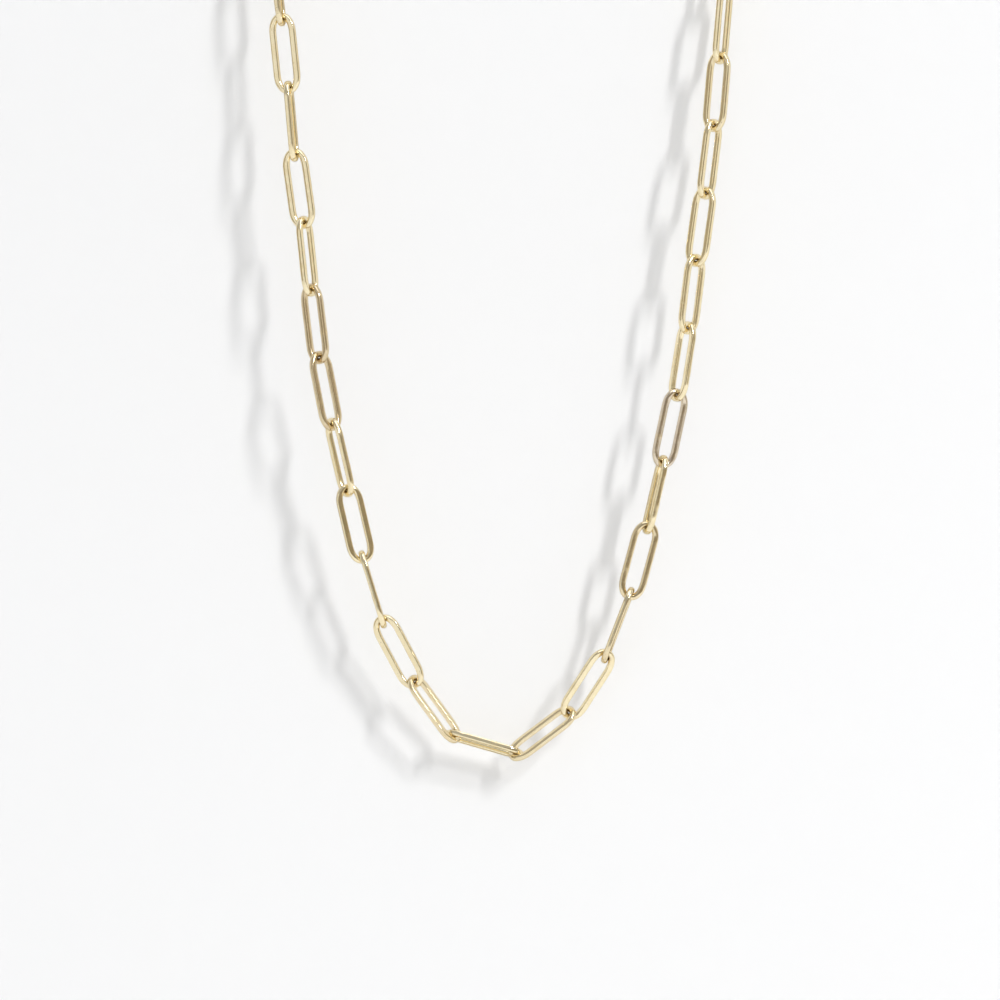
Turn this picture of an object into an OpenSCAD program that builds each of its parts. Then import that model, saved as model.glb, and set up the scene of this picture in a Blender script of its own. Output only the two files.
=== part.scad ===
/* [Links] */
// Outer length of one link
link_len = 12.9; // [12:0.1:15]
// Outer width of one link
link_w = 4.3; // [4:0.1:5.5]
// Thickness of the round wire that the links are bent from
wire_d = 1.0; // [0.7:0.05:1.1]
// Number of links in the whole loop
link_count = 40; // [38:1:44]
// Clearance between two wires that hold each other
wire_gap = 0.1; // [0.06:0.01:0.14]

/* [Jump rings] */
// Thickness of the rings' wire
ring_d = 0.9; // [0.7:0.05:1]
// Free play inside a ring, beside the two wires that it joins
ring_play = 0.5; // [0.3:0.1:1.2]

/* [Clasp] */
// Outer length of the claw, without its eye
claw_len = 9.5; // [8.5:0.1:12]
// Thickness of the claw's round bars
claw_d = 1.4; // [1.1:0.1:1.6]
// Clear width inside the claw's tip
tip_hole = 1.5; // [1.3:0.1:2]
// Clear width inside the claw's heel, before its web
heel_hole = 2.4; // [2.1:0.1:3]
// Thickness of the web that fills the heel
heel_t = 1.0; // [0.6:0.1:1.1]
// Width of the hole in the eye behind the heel
eye_hole = 2.0; // [1.8:0.1:2.6]
// Thickness of the eye's wire
eye_d = 0.9; // [0.7:0.05:1]
// Width of the lever's round thumb tab
tab_w = 2.0; // [1.4:0.1:2.6]
// Thickness of the thumb tab
tab_t = 0.9; // [0.6:0.1:1.1]
// Place of the thumb tab between the tip's bend and the heel's, as a share of the way
tab_place = 0.6; // [0.4:0.05:0.8]

/* [Hidden] */
$fn = 48;
gold = "goldenrod";

// The loop hangs flat in the XZ plane, with its front towards -Y and the clasp level at
// the top. A lean is the direction in which a piece leads on round the loop: 0 is
// straight down, 90 to the right, 180 up, 270 to the left. A roll of 0 shows a piece
// face on, and one of 90 edge on, turned so that its inner bar comes to the front.

// Shown stretch, from the left end down, round the low point and up to the right.
// Each row is one link: [lean, roll, step], where the step is how far the link sits
// in front of the one before it, as a share of the wire.
shown = [
    [7, -80, 0],
    [6, 20, 0],
    [5, -80, 0],
    [8, 24, 0],
    [6, -62, 0],
    [7, 42, 0],
    [11, -42, 0],
    [13, 60, 0],
    [13, -14, 0],
    [17, 90, 0],
    [28, 16, 0],
    [36, -56, 0],
    [74, 74, -0.5],
    [127, -48, 0.7],
    [147, 24, -0.2],
    [159, 84, 0],
    [165, 8, 0],
    [167, -74, 0],
    [168, 26, 0],
    [171, -54, 0],
    [173, 46, 0],
    [172, -38, 0],
    [173, 54, 0],
    [175, -38, 0],
    [175, 62, 0],
];

// The clasp closes the loop: level, and flat on what the necklace hangs on
clasp_lean = 270;
clasp_roll = 90;

// Pieces in their order round the loop: clasp, ring, links, ring
left_links = floor((link_count - len(shown)) / 2);
first_shown = 2 + left_links;
last_shown = first_shown + len(shown) - 1;
last_ring = link_count + 2;
piece_count = last_ring + 1;
pieces = [0 : last_ring];
left_row = shown[0];
right_row = shown[len(shown) - 1];

function two_digits(n) = str(n < 10 ? "0" : "", n);
function piece_name(k) =
    k == 0 ? "clasp" :
    k == 1 ? "jump_ring_left" :
    k == last_ring ? "jump_ring_right" :
    str("link_", two_digits(k - 1));

// Centre line of each kind of piece: its span, and then the bend's radius and the wire
// at its start and at its end
ring_hole = wire_d + max(claw_d, eye_d) + ring_play;
link_bend = (link_w - wire_d) / 2;
ring_bend = (ring_hole + ring_d) / 2;
tip_bend = (tip_hole + claw_d) / 2;
heel_bend = (heel_hole + claw_d) / 2;
eye_bend = (eye_hole + eye_d) / 2;
claw_span = claw_len - claw_d;
clasp_span = claw_span + 2 * eye_bend;
link_line = [link_len - wire_d, link_bend, wire_d, link_bend, wire_d];
ring_line = [2 * ring_bend, ring_bend, ring_d, ring_bend, ring_d];
clasp_line = [clasp_span, tip_bend, claw_d, eye_bend, eye_d];

function line(k) = k == 0 ? clasp_line : k == 1 || k == last_ring ? ring_line : link_line;
function span(k) = line(k)[0];
function start_bend(k) = line(k)[1];
function start_wire(k) = line(k)[2];
function end_bend(k) = line(k)[3];
function end_wire(k) = line(k)[4];
function next(k) = (k + 1) % piece_count;
function touch(k) = (end_wire(k) + start_wire(next(k))) / 2 + wire_gap;

// Directions of a piece
front = [0, -1, 0];
function unit(v) = v / norm(v);
function along(lean) = [sin(lean), 0, -cos(lean)];
function inward(lean) = [cos(lean), 0, sin(lean)];
function across(lean, roll) = cos(roll) * inward(lean) + sin(roll) * front;
function halfway(lean_a, lean_b) = unit(along(lean_a) + along(lean_b));

// Rolls out of sight: a quarter turn at each joint, with an even drift that brings the
// last piece to the roll that it has to meet
quarter = 90;
function folded(angle) = angle - 180 * round(angle / 180);
function turn(from, to, joints) = quarter + folded(to - from - quarter * joints) / joints;
left_turn = turn(clasp_roll, left_row[1], first_shown);
right_turn = turn(right_row[1], clasp_roll, piece_count - last_shown);
function roll(k) =
    k < first_shown ? clasp_roll + k * left_turn :
    k > last_shown ? right_row[1] + (k - last_shown) * right_turn :
    shown[k - first_shown][1];
function step(k) =
    k < first_shown || k > last_shown ? 0 : shown[k - first_shown][2] * wire_d;

// Leans out of sight: each strand runs straight on for its rise, and then bends evenly
// until it meets the level clasp
function pitch(k) = span(k) - touch(k);
function run(from, to) = from > to ? 0 : pitch(from) + run(from + 1, to);
left_run = pitch(0) / 2 + run(1, first_shown - 1);
right_run = pitch(0) / 2 + run(last_shown + 1, last_ring);
function left_way(k) = pitch(0) / 2 + run(1, k - 1) + pitch(k) / 2;
function right_way(k) = run(last_shown + 1, k - 1) + pitch(k) / 2;
function mix(from, to, share) = from + (to - from) * min(max(share, 0), 1);
function lean(k, rises) =
    k == 0 ? clasp_lean :
    k < first_shown ?
        mix(clasp_lean, 360 + left_row[0], left_way(k) / (left_run - rises[0])) :
    k <= last_shown ? shown[k - first_shown][0] :
    mix(right_row[0], clasp_lean, (right_way(k) - rises[1]) / (right_run - rises[1]));

// How much further back a piece has to start so that its bend clears the bend of the
// piece before it, from sampled points of the two centre lines
samples = 33;
bend_reach = 110;
sample_angles = [for (i = [0 : samples - 1]) bend_reach * (2 * i / (samples - 1) - 1)];
function bend_points(apex, radius, way, side) = [
    for (angle = sample_angles)
        apex + radius * ((cos(angle) - 1) * way + sin(angle) * side)
];
function push(apart, way, clear) =
    let (level = apart * way, root = level * level - apart * apart + clear * clear)
    root <= 0 || level > sqrt(root) ? 0 : max(level + sqrt(root), 0);
function slack(k, rises) =
    let (
        n = next(k),
        lean_a = lean(k, rises),
        lean_b = lean(n, rises),
        way = halfway(lean_a, lean_b),
        apex_b = step(n) * front - touch(k) * way,
        a = bend_points([0, 0, 0], end_bend(k), along(lean_a), across(lean_a, roll(k))),
        b = bend_points(apex_b, start_bend(n), -along(lean_b), across(lean_b, roll(n)))
    )
    max([for (p = a) for (q = b) push(q - p, way, touch(k))]);

// From the start of one piece to the start of the next
function advance(k, rises, slacks) =
    let (n = next(k), lean_a = lean(k, rises), lean_b = lean(n, rises))
    span(k) * along(lean_a)
    - (touch(k) + slacks[k]) * halfway(lean_a, lean_b)
    + step(n) * front;

// The two rises that close the loop, by Newton's method
rounds = 8;
nudge = 0.01;
function total(list, i = 0) = i == len(list) ? [0, 0, 0] : list[i] + total(list, i + 1);
function opening(rises, slacks) =
    let (sum = total([for (k = pieces) advance(k, rises, slacks)]))
    [sum[0], sum[2]];
function closed(rises, slacks, left) =
    left == 0 ? rises :
    let (
        off = opening(rises, slacks),
        by_left = (opening(rises + [nudge, 0], slacks) - off) / nudge,
        by_right = (opening(rises + [0, nudge], slacks) - off) / nudge,
        area = by_left[0] * by_right[1] - by_right[0] * by_left[1],
        left_move = (by_right[0] * off[1] - by_right[1] * off[0]) / area,
        right_move = (by_left[1] * off[0] - by_left[0] * off[1]) / area
    )
    closed(rises + [left_move, right_move], slacks, left - 1);
tight = [for (k = pieces) 0];
first_rises = closed([left_run, right_run] / 3, tight, rounds);
slacks = [for (k = pieces) slack(k, first_rises)];
rises = closed(first_rises, slacks, rounds);

// Start of every piece, with the origin on the inner face of the clasp at its middle
clasp_start = [0, 0, claw_d / 2] - clasp_span / 2 * along(clasp_lean);
starts = [
    for (k = 0, p = clasp_start; k < piece_count; p = p + advance(k, rises, slacks), k = k + 1)
        p
];

// Puts a piece that is drawn along +X, with its width along Y, at its place in the loop
module placed(k) {
    u = along(lean(k, rises));
    w = across(lean(k, rises), roll(k));
    n = cross(u, w);
    p = starts[k];
    multmatrix([
        [u[0], w[0], n[0], p[0]],
        [u[1], w[1], n[1], p[1]],
        [u[2], w[2], n[2], p[2]],
        [0, 0, 0, 1]
    ]) children();
}

// Round wire bent through an angle about Z, centred on the +X side
module wire_bend(radius, d, angle) {
    rotate([0, 0, -angle / 2])
        rotate_extrude(angle = angle)
            translate([radius, 0])
                circle(d = d);
}

// Closed loop of round wire from its start apex along +X. Its bars are straight, and
// lean apart when the end bend is wider than the start bend
module wire_loop(span, start_radius, end_radius, d) {
    way = span - start_radius - end_radius;
    splay = asin((end_radius - start_radius) / way);
    start = [start_radius, 0, 0];
    end = [span - end_radius, 0, 0];
    translate(start) rotate([0, 0, 180]) wire_bend(start_radius, d, 180 - 2 * splay);
    translate(end) wire_bend(end_radius, d, 180 + 2 * splay);
    for (side = [-1, 1])
        translate(start)
            rotate([0, 0, side * (90 + splay)])
                translate([start_radius, 0, 0])
                    rotate([side * 90, 0, 0])
                        cylinder(d = d, h = way * cos(splay));
}

module wire_ring(radius, d) {
    translate([radius, 0, 0])
        rotate_extrude()
            translate([radius, 0])
                circle(d = d);
}

module chain_link() {
    color(gold) wire_loop(link_len - wire_d, link_bend, link_bend, wire_d);
}

module jump_ring() {
    color(gold) wire_ring(ring_bend, ring_d);
}

module clasp() {
    heel = claw_span - heel_bend;
    tab = mix(tip_bend, heel, tab_place);
    tab_side = mix(tip_bend, heel_bend, tab_place) + claw_d / 2;
    color(gold) {
        wire_loop(claw_span, tip_bend, heel_bend, claw_d);
        translate([heel, 0, 0]) cylinder(r = heel_bend, h = heel_t, center = true);
        translate([tab, tab_side, 0]) cylinder(d = tab_w, h = tab_t, center = true);
        translate([claw_span, 0, 0]) wire_ring(eye_bend, eye_d);
    }
}

for (k = pieces)
    placed(k) {
            if (k == 0) clasp();
            else if (k == 1 || k == last_ring) jump_ring();
            else chain_link();
        }
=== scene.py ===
import math

import bmesh
import bpy
import numpy as np
from mathutils import Matrix, Vector


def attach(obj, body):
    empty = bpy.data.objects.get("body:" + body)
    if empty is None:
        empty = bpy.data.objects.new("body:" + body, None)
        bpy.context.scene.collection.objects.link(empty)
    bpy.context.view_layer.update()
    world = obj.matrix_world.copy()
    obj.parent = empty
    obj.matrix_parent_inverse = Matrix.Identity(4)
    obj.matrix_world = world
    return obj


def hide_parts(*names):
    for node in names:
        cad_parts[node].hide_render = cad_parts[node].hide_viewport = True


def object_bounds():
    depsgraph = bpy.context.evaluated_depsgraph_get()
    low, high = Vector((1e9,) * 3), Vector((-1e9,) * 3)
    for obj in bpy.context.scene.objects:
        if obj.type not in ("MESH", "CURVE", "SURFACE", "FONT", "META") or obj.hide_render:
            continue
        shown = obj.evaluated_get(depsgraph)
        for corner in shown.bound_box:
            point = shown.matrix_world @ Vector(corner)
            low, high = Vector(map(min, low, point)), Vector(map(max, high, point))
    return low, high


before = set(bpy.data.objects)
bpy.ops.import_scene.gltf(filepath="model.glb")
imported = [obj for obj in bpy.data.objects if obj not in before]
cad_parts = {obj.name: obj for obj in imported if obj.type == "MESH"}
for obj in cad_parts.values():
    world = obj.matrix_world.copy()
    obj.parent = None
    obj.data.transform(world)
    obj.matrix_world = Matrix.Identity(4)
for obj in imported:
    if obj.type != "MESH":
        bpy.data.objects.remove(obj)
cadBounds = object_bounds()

mm = 0.001
print("frame loaded:", len(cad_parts), "CAD pieces")


# Node trees

class Value:  # one output socket; arithmetic on it adds Math nodes to its tree
    def __init__(self, graph, socket):
        self.graph = graph
        self.socket = socket

    def math(self, operation, *others):
        sockets = dict(enumerate((self, *others)))
        made = self.graph.node("ShaderNodeMath", {"operation": operation}, sockets)
        return self.graph.out(made, 0)

    def __add__(self, other):
        return self.math("ADD", other)

    __radd__ = __add__

    def __mul__(self, other):
        return self.math("MULTIPLY", other)

    __rmul__ = __mul__

    def __sub__(self, other):
        return self.math("SUBTRACT", other)

    def __rsub__(self, other):
        return (self * -1.0) + other

    def __truediv__(self, other):
        return self.math("DIVIDE", other)

    def __rtruediv__(self, other):
        return self.math("POWER", -1.0) * other


class Graph:  # makes the nodes of one tree: settings come first, then the sockets' values or links
    def __init__(self, nodeTree):
        self.nodeTree = nodeTree

    def node(self, kind, settings=None, values=None):
        made = self.nodeTree.nodes.new(kind)
        for name, setting in (settings or {}).items():
            setattr(made, name, setting)
        for key, value in (values or {}).items():
            socket = self.pick(made.inputs, key)
            if isinstance(value, Value):
                self.nodeTree.links.new(value.socket, socket)
            else:
                socket.default_value = value
        return made

    def out(self, made, key=0):
        return Value(self, self.pick(made.outputs, key))

    def pick(self, sockets, key):
        if isinstance(key, int):
            return sockets[key]
        return next(s for s in sockets if s.name == key and s.enabled)


# Gold, of the bent wire and of the cast clasp. A band is the two levels between which a mark fades in

goldFinish = {
    "paleGold": (0.96, 0.845, 0.58, 1.0),
    "deepGold": (0.86, 0.69, 0.38, 1.0),
    "tarnishAndShade": (0.53, 0.39, 0.25, 1.0),     # brown film on the links listed by number: partly their own tarnish, partly painted shade for the darker surroundings those links mirror
    # grey film on a listed link: partly its own film, partly painted shade
    "greyFilmAndShade": (0.62, 0.54, 0.49, 1.0),
    # colour of the pits, and of the painted shade in the link crevices
    "pitAndCreviceShadeColour": (0.30, 0.20, 0.10, 1.0),
    "edgeTint": (0.45, 0.37, 0.22, 1.0),    # darker where the wire turns away
    "roughness": (0.08, 0.16),              # polished to lightly rubbed
    "blotchSize": 2.2 * mm,
    "blotchBand": (0.35, 0.68),
    "blotchDepth": 0.35,                    # share of the deep gold in a blotch
    "pitSize": 0.22 * mm,
    "pitBand": (0.70, 0.78),
    "pitDepth": 0.8,
    "filmInBlotches": 0.25,                 # share of the films that lies only in the blotches
    "creviceShadeBand": (0.80, 0.91),            # painted shade in the crevice where the next link sits: share of the half length, near a link's end
    "creviceShadeSide": (0.1, 0.9),              # how far round towards the wire's inner side
    "creviceShadeDepth": 0.75,
    "seamDepth": 0.30,
    "lineLength": 4.0 * mm,                 # fine lines left by drawing the wire
    "linesAround": 6.0,
    "lineBand": (0.35, 0.8),
    "lineHeight": 0.4,                      # against a pit's depth of 1
    "nextLink": 7.3,                        # how far on in the pattern the next link's lines start
    "roughening": {"pit": 0.2, "line": 0.06, "seam": 0.08, "film": 0.06},
    "bumpHeight": 0.0025 * mm,
    "bumpStrength": 0.6,
}


def wireGold(name, finish, alongWire):
    material = bpy.data.materials.new(name)
    material.use_nodes = True
    graph = Graph(material.node_tree)
    graph.nodeTree.nodes.clear()
    place = graph.out(graph.node("ShaderNodeTexCoord"), "Object")

    def noise(size, detail=2.0, roughness=0.5, vector=place):
        made = graph.node("ShaderNodeTexNoise", {}, {
            "Vector": vector, "Scale": 1.0 / size, "Detail": detail, "Roughness": roughness})
        return graph.out(made, "Fac")

    def mix(factor, first, second):
        sockets = {"Factor": factor, "A": first, "B": second}
        return graph.out(graph.node("ShaderNodeMix", {"data_type": "RGBA"}, sockets), "Result")

    def smooth(value, band):
        made = graph.node("ShaderNodeMapRange", {"interpolation_type": "SMOOTHSTEP"}, {
            "Value": value, "From Min": band[0], "From Max": band[1]})
        return graph.out(made, "Result")

    def carried(name, output="Fac"):        # what the wire's mesh carries under this name
        return graph.out(graph.node("ShaderNodeAttribute", {"attribute_name": name}), output)

    rougher = finish["roughening"]
    blotches = smooth(noise(finish["blotchSize"], detail=3.0, roughness=0.6), finish["blotchBand"])
    pits = smooth(noise(finish["pitSize"], detail=1.0), finish["pitBand"])
    colour = mix(blotches * finish["blotchDepth"], finish["paleGold"], finish["deepGold"])
    low, high = finish["roughness"]
    roughness = low + blotches * (high - low) + pits * rougher["pit"]
    height = pits * -1.0
    if alongWire:
        tone = carried("tone")
        seam = carried("seam")
        lines = noise(1.0, roughness=0.6, vector=carried("drawn", "Vector"))
        section = graph.node("ShaderNodeSeparateXYZ", {}, {"Vector": carried("round", "Vector")})
        inward = graph.out(section, "X") * -1.0
        # Painted shade: the inner side of each bend, where the next link sits, darkens towards the pit
        # colour
        creviceShade = smooth(carried("bendShare"), finish["creviceShadeBand"])
        creviceShade = creviceShade * smooth(inward, finish["creviceShadeSide"])
        # Painted shade in part: the brown and grey films on the listed links also stand in for the darker
        # surroundings they mirror
        film = (1.0 - finish["filmInBlotches"]) + blotches * finish["filmInBlotches"]
        colour = mix(tone * film, colour, finish["tarnishAndShade"])
        colour = mix(carried("grey") * film, colour, finish["greyFilmAndShade"])
        colour = mix(seam * finish["seamDepth"], colour, finish["deepGold"])
        colour = mix(creviceShade * finish["creviceShadeDepth"], colour, finish["pitAndCreviceShadeColour"])
        roughness = roughness + smooth(lines, finish["lineBand"]) * rougher["line"]
        roughness = roughness + seam * rougher["seam"] + tone * rougher["film"]
        height = height + lines * finish["lineHeight"]
    colour = mix(pits * finish["pitDepth"], colour, finish["pitAndCreviceShadeColour"])
    bump = graph.node("ShaderNodeBump", {}, {
        "Height": height, "Distance": finish["bumpHeight"], "Strength": finish["bumpStrength"]})
    shader = graph.node("ShaderNodeBsdfPrincipled", {}, {
        "Base Color": colour, "Metallic": 1.0, "Roughness": roughness, "Normal": graph.out(bump),
        "Specular Tint": finish["edgeTint"]})
    graph.node("ShaderNodeOutputMaterial", {}, {"Surface": graph.out(shader)})
    return material


linkGold = wireGold("linkGold", goldFinish, True)
claspGold = wireGold("claspGold", goldFinish, False)
print("materials made")


# Where each CAD piece lies: its middle, the way it runs, its width and its normal

def pointsOf(mesh):
    points = np.zeros(len(mesh.vertices) * 3)
    mesh.vertices.foreach_get("co", points)
    return points.reshape(-1, 3)


def poseOf(node):                           # from the solid's moments about its middle
    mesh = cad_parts[node].data
    mesh.calc_loop_triangles()
    points = pointsOf(mesh)
    triangles = np.array([t.vertices for t in mesh.loop_triangles])
    middle = points.mean(0)
    a, b, c = (points[triangles[:, i]] - middle for i in range(3))
    volume = np.einsum("ij,ij->i", a, np.cross(b, c)) / 6
    middle = middle + ((a + b + c) * volume[:, None]).sum(0) / 4 / volume.sum()
    a, b, c = (points[triangles[:, i]] - middle for i in range(3))
    spread = sum(np.einsum("i,ij,ik->jk", volume, p, p) for p in (a, b, c, a + b + c))
    axes = np.linalg.eigh(spread)[1]
    run = Vector(axes[:, 2])
    width = Vector(axes[:, 1])
    if run.z < 0:
        run = -run
    if width.y > 0:
        width = -width
    return Vector(middle), run, width, run.cross(width)


# Links and rings, by one Geometry Nodes tree that lays a closed wire on each point

linkWire = {
    "length": 12.9 * mm,                # outside of one link
    "width": 4.3 * mm,
    "wire": 1.0 * mm,
    "stepsAround": 24,
    "stepsAlong": 96,
    "seamPlace": 0.31,                  # share of the way round, on one straight bar
    "seamLength": 0.90 * mm,
    "seamRise": 0.022,                  # share of the wire
    "bendLength": 2.8 * mm,             # how far each oval bend reaches along the link
    "bendFullness": 2.3,                # power of the bend's curve: 2 is an ellipse
    "spread": 0.015,                    # how much further apart the bars are than the solids', as a share
    "squareness": (2.4, 4.2),           # power of the section's curve, in the bends and on the bars
    "barSize": (1.00, 0.88),            # width and thickness of the bars, as shares of the wire
    "barFade": (0.80, 0.125),           # shares of half the length: the squarer bars' end, and their fade
    "wobble": 0.010 * mm,               # unevenness of hand-polished wire
    "wobbleSize": 3.0 * mm,
}
ringWire = {
    "length": 4.7 * mm,
    "width": 4.7 * mm,
    "wire": 0.9 * mm,
    "stepsAround": 20,
    "stepsAlong": 72,
    "seamPlace": 0.15,
    "seamLength": 0.10 * mm,            # the cut where the ring was bent shut
    "seamRise": -0.10,
    "bendLength": 1.9 * mm,
    "bendFullness": 2.0,
    "spread": 0.0,
    "squareness": (2.0, 2.0),           # round all the way
    "barSize": (1.0, 1.0),
    "barFade": (0.80, 0.125),
    "wobble": 0.006 * mm,
    "wobbleSize": 2.0 * mm,
}

# How brown and how grey some of the shown links look, by their numbers: partly their own films, partly
# painted shade for the darker surroundings they mirror
linkTones = {8: 0.15, 13: 0.55, 14: 0.55, 19: 0.25, 21: 0.18, 23: 0.20, 24: 0.22, 26: 0.12, 31: 0.15}
linkGreys = {26: 0.68}

pathPoints = 720                        # of the circle that a wire's path is made from, a multiple of 4


def wireTree():
    tree = bpy.data.node_groups.new("closedWireOnPoints", "GeometryNodeTree")
    inputs = {
        "Geometry": ("Geometry",),
        "Int": ("Steps Along", "Steps Around"),
        "Float": (
            "Length", "Width", "Wire", "Seam Place", "Seam Length", "Seam Rise", "Bend Length",
            "Bend Fullness", "Spread", "Bend Squareness", "Bar Squareness", "Bar Width", "Bar Thickness",
            "Bar End", "Bar Fade", "Wobble", "Wobble Size"),
        "Material": ("Material",),
    }
    for kind, names in inputs.items():
        for name in names:
            tree.interface.new_socket(name, in_out="INPUT", socket_type="NodeSocket" + kind)
    tree.interface.new_socket("Geometry", in_out="OUTPUT", socket_type="NodeSocketGeometry")
    graph = Graph(tree)
    given = graph.node("NodeGroupInput")

    def param(name):
        return graph.out(given, name)

    def step(kind, sockets, settings=None):
        return graph.out(graph.node(kind, settings, sockets))

    def attribute(name, kind="FLOAT"):
        made = graph.node("GeometryNodeInputNamedAttribute", {"data_type": kind}, {"Name": name})
        return graph.out(made, "Attribute")

    def store(geometry, name, value, kind="FLOAT"):
        sockets = {"Geometry": geometry, "Name": name, "Value": value}
        return step("GeometryNodeStoreNamedAttribute", sockets, {"data_type": kind, "domain": "POINT"})

    def vectors(operation, first, second):
        return step("ShaderNodeVectorMath", {0: first, 1: second}, {"operation": operation})

    def scaled(vector, share):
        return step("ShaderNodeVectorMath", {0: vector, "Scale": share}, {"operation": "SCALE"})

    def combine(x, y, z):
        return step("ShaderNodeCombineXYZ", {"X": x, "Y": y, "Z": z})

    def split(vector):
        made = graph.node("ShaderNodeSeparateXYZ", {}, {"Vector": vector})
        return [graph.out(made, axis) for axis in "XYZ"]

    def filled(part, power, reach):         # a circle's part, taken to a fuller curve of that reach
        return part.math("ABSOLUTE").math("POWER", 2.0 / power) * reach

    # A circle made fuller and pulled apart at its middle gives two oval bends and two straight bars
    position = graph.out(graph.node("GeometryNodeInputPosition"))
    bend = (param("Width") - param("Wire")) / 2.0 * (1.0 + param("Spread"))
    barEnd = (param("Length") - param("Wire")) / 2.0 - param("Bend Length")
    circle = step("GeometryNodeCurvePrimitiveCircle", {"Resolution": pathPoints, "Radius": 1.0})
    cosine, sine = split(position)[:2]
    alongLink = filled(cosine, param("Bend Fullness"), param("Bend Length")) + barEnd
    acrossLink = filled(sine, param("Bend Fullness"), bend)
    pulled = step("GeometryNodeSetPosition", {
        "Geometry": circle,
        "Position": combine(cosine.math("SIGN") * alongLink, sine.math("SIGN") * acrossLink, 0.0)})
    count = param("Steps Along")
    path = step("GeometryNodeResampleCurve", {"Curve": pulled, "Count": count}, {"mode": "COUNT"})
    path = step("GeometryNodeSetCurveNormal", {"Curve": path}, {"mode": "Z_UP"})

    # Distance along the wire, how near each point is to the solder seam, and how near to a bend
    spline = graph.node("GeometryNodeSplineParameter")
    roundWay = graph.out(graph.node("GeometryNodeSplineLength"), "Length")
    off = (graph.out(spline, "Factor") - param("Seam Place")) * roundWay / (param("Seam Length") / 2.0)
    path = store(path, "seam", (off * off * -1.0).math("EXPONENT"))
    path = store(path, "way", graph.out(spline, "Length"))
    path = store(path, "bendShare", split(position)[0].math("ABSOLUTE") * 2.0 / param("Length"))

    # The wire's section, as it is in the bends
    profile = step("GeometryNodeCurvePrimitiveCircle", {"Resolution": param("Steps Around")})
    angle = graph.out(graph.node("GeometryNodeSplineParameter"), "Factor") * math.tau
    sides = (angle.math("COSINE"), angle.math("SINE"))
    radius = param("Wire") / 2.0
    bendSides = [part.math("SIGN") * filled(part, param("Bend Squareness"), radius) for part in sides]
    profile = store(profile, "round", combine(*sides, 0.0), "FLOAT_VECTOR")
    profile = step("GeometryNodeSetPosition", {"Geometry": profile, "Position": combine(*bendSides, 0.0)})
    wire = step("GeometryNodeCurveToMesh", {
        "Curve": path, "Profile Curve": profile, "Scale": 1.0 + attribute("seam") * param("Seam Rise")})

    # The bars are squarer than the bends, and a little thinner
    outward, upward = split(attribute("round", "FLOAT_VECTOR"))[:2]
    swell = [filled(part, param("Bar Squareness"), radius) * param(size)
             - filled(part, param("Bend Squareness"), radius)
             for part, size in ((outward, "Bar Width"), (upward, "Bar Thickness"))]
    barShare = (param("Bar End") - attribute("bendShare")) / param("Bar Fade")
    barShare = barShare.math("MINIMUM", 1.0).math("MAXIMUM", 0.0)
    wireY, wireZ = split(position)[1:]
    aside = wireY.math("SIGN") * outward.math("SIGN") * swell[0] * barShare
    lifted = wireZ.math("SIGN") * swell[1] * barShare
    wire = step("GeometryNodeSetPosition", {"Geometry": wire, "Offset": combine(0.0, aside, lifted)})

    # One wire on each point, turned as the point says
    laid = step("GeometryNodeInstanceOnPoints", {
        "Points": param("Geometry"), "Instance": wire, "Rotation": attribute("turn", "QUATERNION")})
    laid = step("GeometryNodeRealizeInstances", {"Geometry": laid})

    # Slow wobble of the wire, and the stretched place that the drawing lines are read from
    texture = graph.node("ShaderNodeTexNoise", {}, {"Scale": 1.0 / param("Wobble Size"), "Detail": 1.0})
    centred = vectors("SUBTRACT", graph.out(texture, "Color"), (0.5, 0.5, 0.5))
    shift = scaled(centred, param("Wobble") * 2.0)
    laid = step("GeometryNodeSetPosition", {"Geometry": laid, "Offset": shift})
    around = scaled(attribute("round", "FLOAT_VECTOR"), goldFinish["linesAround"])
    lengthwise = combine(0.0, 0.0, attribute("way") / goldFinish["lineLength"])
    ownStart = combine(attribute("number") * goldFinish["nextLink"], 0.0, 0.0)
    lines = vectors("ADD", vectors("ADD", around, lengthwise), ownStart)
    laid = store(laid, "drawn", lines, "FLOAT_VECTOR")
    laid = step("GeometryNodeSetShadeSmooth", {"Geometry": laid})
    laid = step("GeometryNodeSetMaterial", {"Geometry": laid, "Material": param("Material")})
    graph.node("NodeGroupOutput", {}, {"Geometry": laid})
    return tree


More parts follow.
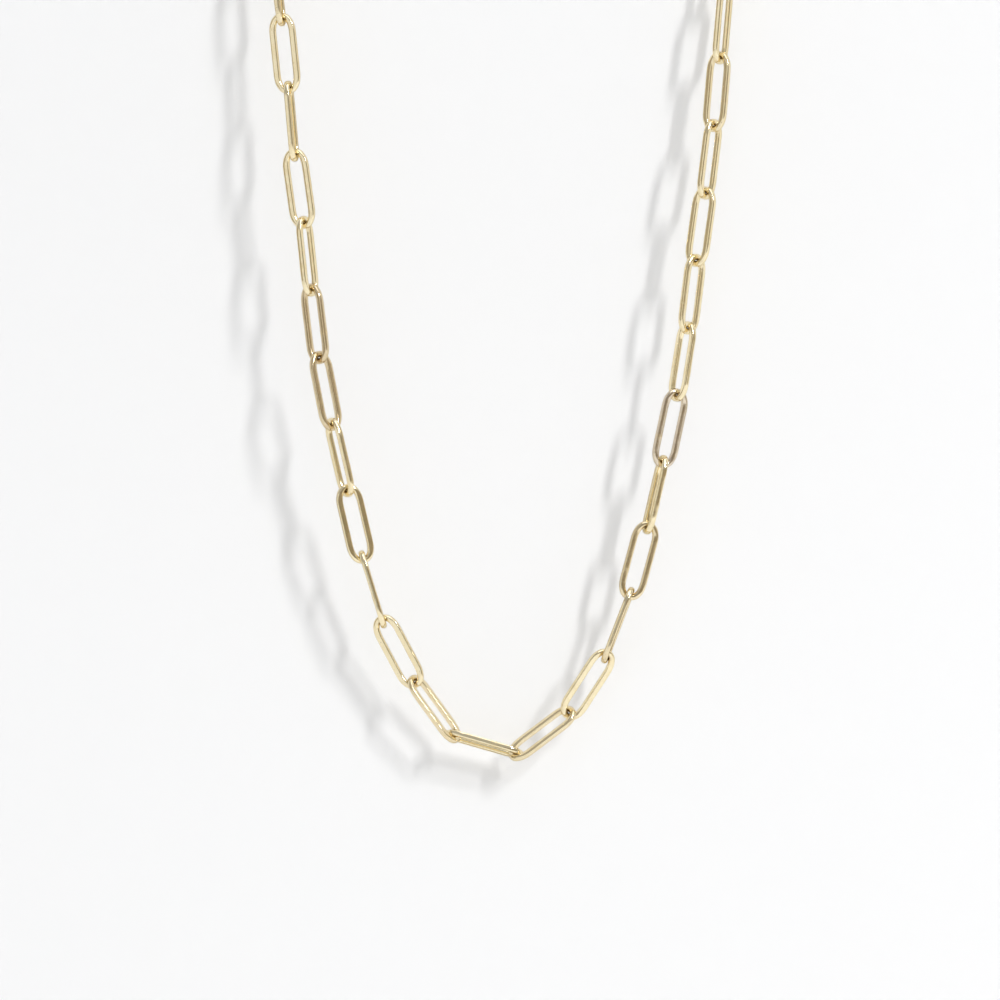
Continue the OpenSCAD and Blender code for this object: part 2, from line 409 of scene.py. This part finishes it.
def layWires(name, nodes, settings, tones, greys, material, tree):
    mesh = bpy.data.meshes.new(name + "Points")
    poses = [poseOf(node) for node in nodes]
    mesh.from_pydata([middle for middle, run, width, normal in poses], [], [])
    numbers = range(len(nodes))
    carried = {
        "turn": [Matrix(axes).transposed().to_quaternion() for middle, *axes in poses],
        "number": numbers,
        "tone": [tones.get(i + 1, 0.0) for i in numbers],
        "grey": [greys.get(i + 1, 0.0) for i in numbers],
    }
    for key, values in carried.items():
        made = mesh.attributes.new(key, "QUATERNION" if key == "turn" else "FLOAT", "POINT")
        for i, value in enumerate(values):
            made.data[i].value = value
    maker = bpy.data.objects.new(name + "Maker", mesh)
    bpy.context.collection.objects.link(maker)
    modifier = maker.modifiers.new("wires", "NODES")
    modifier.node_group = tree
    sockets = {item.name: item.identifier for item in tree.interface.items_tree if item.in_out == "INPUT"}
    given = {
        "Length": settings["length"], "Width": settings["width"], "Wire": settings["wire"],
        "Steps Along": settings["stepsAlong"], "Steps Around": settings["stepsAround"],
        "Seam Place": settings["seamPlace"], "Seam Length": settings["seamLength"],
        "Seam Rise": settings["seamRise"],
        "Bend Length": settings["bendLength"], "Bend Fullness": settings["bendFullness"],
        "Spread": settings["spread"],
        "Bend Squareness": settings["squareness"][0], "Bar Squareness": settings["squareness"][1],
        "Bar Width": settings["barSize"][0], "Bar Thickness": settings["barSize"][1],
        "Bar End": settings["barFade"][0], "Bar Fade": settings["barFade"][1],
        "Wobble": settings["wobble"], "Wobble Size": settings["wobbleSize"], "Material": material,
    }
    for key, value in given.items():
        modifier[sockets[key]] = value
    evaluated = maker.evaluated_get(bpy.context.evaluated_depsgraph_get())
    laid = bpy.data.meshes.new_from_object(evaluated)
    laid.name = name
    bpy.data.objects.remove(maker)
    lowest, highest = (np.array(corner) for corner in cadBounds)
    inside = np.clip(pointsOf(laid), lowest, highest)   # squared edges stay inside the CAD box
    laid.vertices.foreach_set("co", inside.ravel())
    piece = bpy.data.objects.new(name, laid)
    bpy.context.collection.objects.link(piece)
    print(name, "laid:", len(nodes), "wires,", len(laid.polygons), "faces")
    return piece


wires = wireTree()
linkNodes = sorted(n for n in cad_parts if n.startswith("link_"))
ringNodes = sorted(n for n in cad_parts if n.startswith("jump_ring"))
links = layWires("chain_links", linkNodes, linkWire, linkTones, linkGreys, linkGold, wires)
rings = layWires("jump_rings", ringNodes, ringWire, {}, {}, linkGold, wires)
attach(links, "root")
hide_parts(*linkNodes)
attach(rings, "root")
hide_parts(*ringNodes)


# Clasp, cast in one: a claw that thickens to its heel, a web, a thumb tab and an eye, melted together

claspBody = {
    "span": 11.0 * mm,                  # from the middle of the tip's wire to that of the eye's
    "level": 0.7 * mm,                  # height of its middle plane
    "tipBend": 1.45 * mm,
    "tipWire": 1.20 * mm,
    "heelBend": 1.90 * mm,
    "heelWire": 1.40 * mm,
    "heelFromTip": 6.20 * mm,
    "web": (1.95 * mm, 1.95 * mm, 0.56 * mm),
    "tab": (1.00 * mm, 1.00 * mm, 0.46 * mm),
    "tabFromTip": 4.30 * mm,
    "tabSide": 2.42 * mm,
    "eyeBend": 1.45 * mm,
    "eyeWire": 0.90 * mm,
    "clawSteps": 220,
    "eyeSteps": 96,
    "weld": 0.001 * mm,
    "voxel": 0.055 * mm,
    "melt": 7,                          # rounds of smoothing
}


def closedTube(path, radii, around=24):
    points = []
    for i, (x, y) in enumerate(path):
        ahead = path[(i + 1) % len(path)] - path[i - 1]
        side = np.array((ahead[1], -ahead[0])) / np.hypot(*ahead)
        for j in range(around):
            turn = math.tau * j / around
            reach = radii[i] * math.cos(turn)
            points.append((x + side[0] * reach, y + side[1] * reach, radii[i] * math.sin(turn)))
    faces = []
    for i in range(len(path)):
        for j in range(around):
            a, b = i * around, (i + 1) % len(path) * around
            k = (j + 1) % around
            faces.append((a + j, a + k, b + k, b + j))
    return points, faces


def evenly(corners, count):
    corners = np.array(corners)
    closed = np.vstack((corners, corners[:1]))
    reach = np.concatenate(((0.0,), np.cumsum(np.hypot(*np.diff(closed, axis=0).T))))
    places = np.linspace(0.0, reach[-1], count, endpoint=False)
    return np.column_stack([np.interp(places, reach, closed[:, axis]) for axis in (0, 1)])


def arc(middle, radius, start, end, steps=48):
    turns = np.linspace(start, end, steps)
    return [(middle + radius * math.cos(t), radius * math.sin(t)) for t in turns]


def ball(middle, radii, rings=24, around=40):
    points, faces = [], []
    for i in range(rings + 1):
        up = math.pi * i / rings - math.pi / 2
        for j in range(around):
            turn = math.tau * j / around
            points.append((middle[0] + radii[0] * math.cos(up) * math.cos(turn),
                           middle[1] + radii[1] * math.cos(up) * math.sin(turn), radii[2] * math.sin(up)))
    for i in range(rings):
        for j in range(around):
            k = (j + 1) % around
            faces.append((i * around + j, i * around + k, (i + 1) * around + k, (i + 1) * around + j))
    return points, faces


def castClasp(body):
    tip = body["span"] / 2
    front = tip - body["tipBend"]
    heel = tip - body["heelFromTip"]
    eye = body["eyeBend"] - tip
    tangent = math.acos((body["heelBend"] - body["tipBend"]) / (front - heel))
    outline = arc(front, body["tipBend"], -tangent, tangent)
    outline += arc(heel, body["heelBend"], tangent, math.tau - tangent)
    path = evenly(outline, body["clawSteps"])
    radii = np.interp(path[:, 0], (heel, tip), (body["heelWire"] / 2, body["tipWire"] / 2))
    eyePath = evenly(arc(eye, body["eyeBend"], 0.0, math.tau), body["eyeSteps"])
    parts = (
        closedTube(path, radii),
        closedTube(eyePath, np.full(len(eyePath), body["eyeWire"] / 2)),
        ball((heel, 0.0), body["web"]),
        ball((tip - body["tabFromTip"], -body["tabSide"]), body["tab"]),
    )
    points, faces = [], []
    for partPoints, partFaces in parts:
        faces += [tuple(i + len(points) for i in face) for face in partFaces]
        points += partPoints
    mesh = bpy.data.meshes.new("claspParts")
    mesh.from_pydata(points, [], faces)
    mesh.transform(Matrix.Translation((0.0, 0.0, body["level"])))
    bm = bmesh.new()
    bm.from_mesh(mesh)
    bmesh.ops.remove_doubles(bm, verts=bm.verts, dist=body["weld"])
    bmesh.ops.recalc_face_normals(bm, faces=bm.faces)
    bm.to_mesh(mesh)
    bm.free()
    maker = bpy.data.objects.new("claspMaker", mesh)
    bpy.context.collection.objects.link(maker)
    melt = maker.modifiers.new("melt", "REMESH")
    melt.mode = "VOXEL"
    melt.voxel_size = body["voxel"]
    soften = maker.modifiers.new("soften", "SMOOTH")
    soften.iterations = body["melt"]
    evaluated = maker.evaluated_get(bpy.context.evaluated_depsgraph_get())
    cast = bpy.data.meshes.new_from_object(evaluated)
    cast.name = "clasp_cast"
    bpy.data.objects.remove(maker)
    cast.shade_smooth()
    cast.materials.append(claspGold)
    piece = bpy.data.objects.new("clasp_cast", cast)
    bpy.context.collection.objects.link(piece)
    print("clasp cast:", len(cast.polygons), "faces")
    return piece


clasp = castClasp(claspBody)
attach(clasp, "root")
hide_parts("clasp")


# Studio: a pale wall just behind the chain that takes its shadow, and a pale floor

studio = {
    "imageScale": 0.1588 * mm,          # size of one pixel at the chain
    "imagePixels": 1000,
    "aim": (4.95 * mm, 0.0, -149.35 * mm),
    "cameraAway": 1.2,
    "cameraNearest": 0.01,
    "sensor": 36.0,
    "wallBehind": 8.9 * mm,             # behind the chain's middle, at the height where the wall bends
    "wallTurn": -0.037,                 # nearer to the chain on the right
    "wallLean": -0.070,                 # and nearer above the bend
    "wallBend": -1.06,                  # a paper sweep that comes forward below the bend
    "bendStart": -95.0 * mm,
    "wallTop": -40.0 * mm,              # plain and upright from here up
    "wallFoot": -240.0 * mm,            # straight on from here down
    "wallTurnEnds": 90.0 * mm,          # the turn goes this far out on either side
    "wallSize": (1.6, 1.12),
    "wallCells": 80,                    # each way
    "floorLevel": -0.30,
    "floorReach": 3.2,
    "paper": (0.90, 0.90, 0.90),
    "paperRoughness": 0.9,
    "paperGrain": 9.0,                  # cloudy patches in a metre
    "grainShade": 0.9,
    "grainDepth": 0.03,
    "sky": (0.975, 0.98, 0.99, 1.0),
    "skyStrength": 0.448,
}


def stageMaterial(name, colour, oneSided):
    material = bpy.data.materials.new(name)
    material.use_nodes = True
    graph = Graph(material.node_tree)
    graph.nodeTree.nodes.clear()
    place = graph.out(graph.node("ShaderNodeTexCoord"), "Object")
    noise = graph.node("ShaderNodeTexNoise", {}, {
        "Vector": place, "Scale": studio["paperGrain"], "Detail": 2.0})
    darker = [part * studio["grainShade"] for part in colour]
    tint = graph.node("ShaderNodeMix", {"data_type": "RGBA"}, {
        "Factor": graph.out(noise, "Fac") * studio["grainDepth"], "A": (*colour, 1.0), "B": (*darker, 1.0)})
    shown = graph.out(graph.node("ShaderNodeBsdfPrincipled", {}, {
        "Base Color": graph.out(tint, "Result"), "Roughness": studio["paperRoughness"]}))
    if oneSided:
        back = graph.out(graph.node("ShaderNodeNewGeometry"), "Backfacing")
        clear = graph.out(graph.node("ShaderNodeBsdfTransparent"))
        shown = graph.out(graph.node("ShaderNodeMixShader", {}, {0: back, 1: shown, 2: clear}))
    graph.node("ShaderNodeOutputMaterial", {}, {"Surface": shown})
    return material


def sheet(name, points, material, columns=2):
    rows = len(points) // columns
    corners = [i + j * columns for j in range(rows - 1) for i in range(columns - 1)]
    mesh = bpy.data.meshes.new(name)
    mesh.from_pydata(points, [], [(i, i + 1, i + 1 + columns, i + columns) for i in corners])
    mesh.shade_smooth()
    mesh.materials.append(material)
    made = bpy.data.objects.new(name, mesh)
    bpy.context.collection.objects.link(made)
    return made


def wallDepth(x, z):                        # how far back the wall is at this place
    x = min(max(x, -studio["wallTurnEnds"]), studio["wallTurnEnds"])
    foot = min(z - studio["wallFoot"], 0.0)
    z = min(max(z, studio["wallFoot"]), studio["wallTop"])
    below = max(studio["bendStart"] - z, 0.0)
    depth = studio["wallBehind"] + studio["wallTurn"] * x + studio["wallLean"] * (z - studio["bendStart"])
    slope = studio["wallLean"] - 2.0 * studio["wallBend"] * below
    return depth + studio["wallBend"] * below ** 2 + slope * foot


def buildStudio():
    level = studio["floorLevel"]
    width, height = studio["wallSize"]
    shares = [i / studio["wallCells"] for i in range(studio["wallCells"] + 1)]
    across = [width * (share - 0.5) for share in shares]
    heights = [level + height * share for share in shares]
    points = [(x, wallDepth(x, z), z) for z in heights for x in across]
    sheet("wall", points, stageMaterial("wallPaper", studio["paper"], True), len(across))
    ends = (-studio["floorReach"], studio["floorReach"])
    floor = [(x, y, level) for y in ends for x in ends]
    sheet("floor", floor, stageMaterial("floorPaper", studio["paper"], False))


def addCamera():
    data = bpy.data.cameras.new("camera")
    data.sensor_width = studio["sensor"]
    frameWidth = studio["imageScale"] * studio["imagePixels"]
    data.lens = studio["sensor"] * studio["cameraAway"] / frameWidth
    data.clip_start = studio["cameraNearest"]
    camera = bpy.data.objects.new("camera", data)
    camera.location = Vector(studio["aim"]) + Vector((0, -studio["cameraAway"], 0))
    camera.rotation_euler = (math.radians(90), 0, 0)
    bpy.context.collection.objects.link(camera)
    bpy.context.scene.camera = camera


# Lamps: a tall narrow one throws the chain's shadow, and two wide ones fill it in

lamps = {
    "key": {
        "toward": (0.84, -1.0, 0.778), "away": 2.0, "size": (0.12, 0.62), "lean": -0.16, "power": 16.1,
        "shadows": True},
    "front": {
        "toward": (-0.75, -1.0, -0.05), "away": 1.5, "size": (1.20, 1.25), "lean": 0.0, "power": 1.90,
        "shadows": False},
    "top": {
        "toward": (0.2, -0.45, 1.0), "away": 1.3, "size": (1.0, 1.0), "lean": 0.0, "power": 4.20,
        "shadows": False},
}
darkCards = {                               # dull warm cards that only the gold mirrors
    "leftCard": {
        "toward": (-1.0, -0.36, 0.0), "away": 0.85, "size": (0.36, 1.0), "shade": (0.43, 0.38, 0.29)},
    "frontCard": {
        "toward": (0.62, -1.0, 0.0), "away": 0.85, "size": (0.85, 0.50), "shade": (0.31, 0.26, 0.18)},
    "rightCard": {
        "toward": (1.0, -0.30, 0.0), "away": 0.85, "size": (0.30, 1.0), "shade": (0.49, 0.43, 0.33)},
}


def addLights():
    aim = Vector(studio["aim"])
    for name, lamp in lamps.items():
        data = bpy.data.lights.new(name, "AREA")
        data.shape = "RECTANGLE"
        data.size, data.size_y = lamp["size"]
        data.energy = lamp["power"]
        data.use_shadow = lamp["shadows"]
        made = bpy.data.objects.new(name, data)
        toward = Vector(lamp["toward"]).normalized()
        made.location = aim + toward * lamp["away"]
        facing = toward.to_track_quat("Z", "Y").to_matrix() @ Matrix.Rotation(lamp["lean"], 3, "Z")
        made.rotation_euler = facing.to_euler()
        bpy.context.collection.objects.link(made)
    for name, card in darkCards.items():
        toward = Vector(card["toward"]).normalized()
        side = toward.cross(Vector((0, 0, 1))).normalized() * card["size"][0] / 2
        up = side.cross(toward).normalized() * card["size"][1] / 2
        centre = aim + toward * card["away"]
        corners = [centre - side - up, centre + side - up, centre - side + up, centre + side + up]
        made = sheet(name, corners, stageMaterial(name + "Paper", card["shade"], False))
        made.visible_camera = False
        made.visible_shadow = False
        made.visible_diffuse = False
    world = bpy.data.worlds.new("studio")
    world.use_nodes = True
    background = world.node_tree.nodes["Background"]
    background.inputs["Color"].default_value = studio["sky"]
    background.inputs["Strength"].default_value = studio["skyStrength"]
    bpy.context.scene.world = world


buildStudio()
addCamera()
addLights()
bpy.context.scene.view_settings.view_transform = "Standard"
print("studio built")
